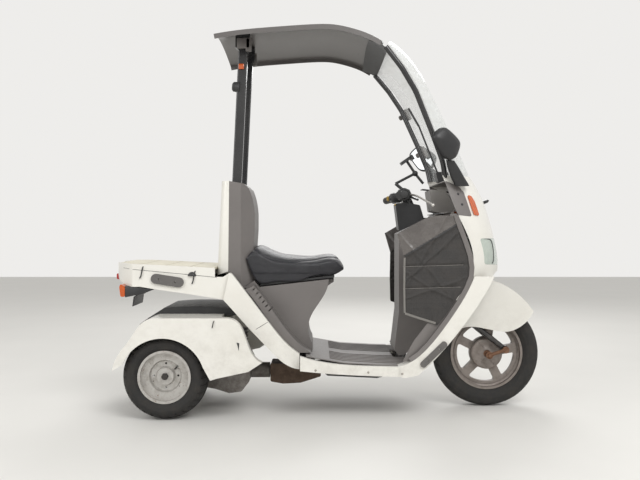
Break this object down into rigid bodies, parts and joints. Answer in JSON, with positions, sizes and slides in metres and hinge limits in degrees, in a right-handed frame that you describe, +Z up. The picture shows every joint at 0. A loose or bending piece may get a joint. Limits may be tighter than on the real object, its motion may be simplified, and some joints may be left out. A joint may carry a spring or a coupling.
{
  "type": "three-wheel delivery scooter",
  "caption": "Roofed tilting three-wheel scooter with a steered front wheel, windscreen, lifting seat and rear cargo deck.",
  "frame": {"origin": "on the floor under the middle of the vehicle's length and width", "axes": "+X points forward, +Y to the rider's left, +Z up"},
  "size_m": [1.8949, 0.7696, 1.6878],
  "materials": {
    "tyre": "worn",
    "cast_wheel": "painted taupe",
    "steel_wheel": "silver paint",
    "axle_steel": "dirty",
    "engine_metal": "dirty cast",
    "case_metal": "brown, rusty",
    "white_panel": "gloss",
    "white_cowl": "gloss",
    "white_deck": "gloss",
    "white_fender": "gloss",
    "grey_trim": "satin grain",
    "grey_shield": "satin grain",
    "grey_dash": "satin grain",
    "grey_roof": "satin",
    "black_plastic": "satin",
    "black_paint": "satin",
    "frame_paint": "satin",
    "lamp_glass": "clear lens",
    "amber": "lens",
    "red_lens": "lens",
    "screen": "clear",
    "mesh_cloth": "coated mesh",
    "vinyl": "glossy vinyl",
    "deck_cream": "worn",
    "pad_rubber": "matte",
    "grip_rubber": "matte",
    "rusty_steel": "rusty"
  },
  "bodies": {
    "rear_unit": {"engine_case": "engine_metal", "rear_axle": "axle_steel", "rear_fender_right": "white_fender", "rear_fender_left": "white_fender", "engine_cover": "black_plastic"},
    "front_body": {"frame": "frame_paint", "joint_case": "case_metal", "floorboard": "grey_trim", "floor_rails": "white_panel", "side_skirts": "white_panel", "undercover": "black_plastic", "front_cowl": "white_cowl", "leg_shield": "grey_shield", "dash_panel": "grey_dash", "headlamps": "lamp_glass", "cowl_side_panels": "grey_trim", "indicators": "amber", "mirrors": "black_plastic", "windscreen": "screen", "windscreen_pillars": "black_paint", "wiper": "black_plastic", "roof": "grey_roof", "roof_header": "black_plastic", "roof_posts": "black_paint", "backrest_cover": "white_panel", "backrest_front": "grey_trim", "seat_box": "grey_trim", "deck_shell": "white_deck", "deck_boards": "deck_cream", "bumper_pads": "pad_rubber", "tail_lamp": "red_lens", "plate_bracket": "black_plastic", "leg_cover_right": "mesh_cloth", "leg_cover_left": "mesh_cloth"},
    "seat": {"seat_cushion": "vinyl", "seat_base": "black_plastic"},
    "steering": {"fork": "black_paint", "fork_links": "rusty_steel", "handlebar": "black_paint", "grips": "grip_rubber", "handlebar_shroud": "black_plastic", "phone_holder": "black_plastic", "front_fender": "white_fender"},
    "front_wheel": {"front_tyre": "tyre", "front_rim": "cast_wheel"},
    "rear_wheel_right": {"rear_tyre_right": "tyre", "rear_rim_right": "steel_wheel"},
    "rear_wheel_left": {"rear_tyre_left": "tyre", "rear_rim_left": "steel_wheel"}
  },
  "joints": [
    {"name": "lean", "type": "hinge", "parent": "rear_unit", "child": "front_body", "pos_m": [-0.2, 0, 0.158], "axis": [1, 0, 0], "range_deg": [-6, 6]},
    {"name": "seat_open", "type": "hinge", "parent": "front_body", "child": "seat", "pos_m": [0.012, 0, 0.566], "axis": [0, 1, 0], "range_deg": [0, 70]},
    {"name": "steer", "type": "hinge", "parent": "front_body", "child": "steering", "pos_m": [0.67, 0, 0.238], "axis": [-0.4147, 0, 0.91], "range_deg": [-40, 40]},
    {"name": "front_wheel_spin", "type": "hinge", "parent": "steering", "child": "front_wheel", "pos_m": [0.7095, 0, 0.238], "axis": [0, 1, 0], "continuous": true},
    {"name": "rear_wheel_right_spin", "type": "hinge", "parent": "rear_unit", "child": "rear_wheel_right", "pos_m": [-0.69, -0.235, 0.18], "axis": [0, 1, 0], "continuous": true},
    {"name": "rear_wheel_left_spin", "type": "hinge", "parent": "rear_unit", "child": "rear_wheel_left", "pos_m": [-0.69, 0.235, 0.18], "axis": [0, 1, 0], "continuous": true}
  ]
}
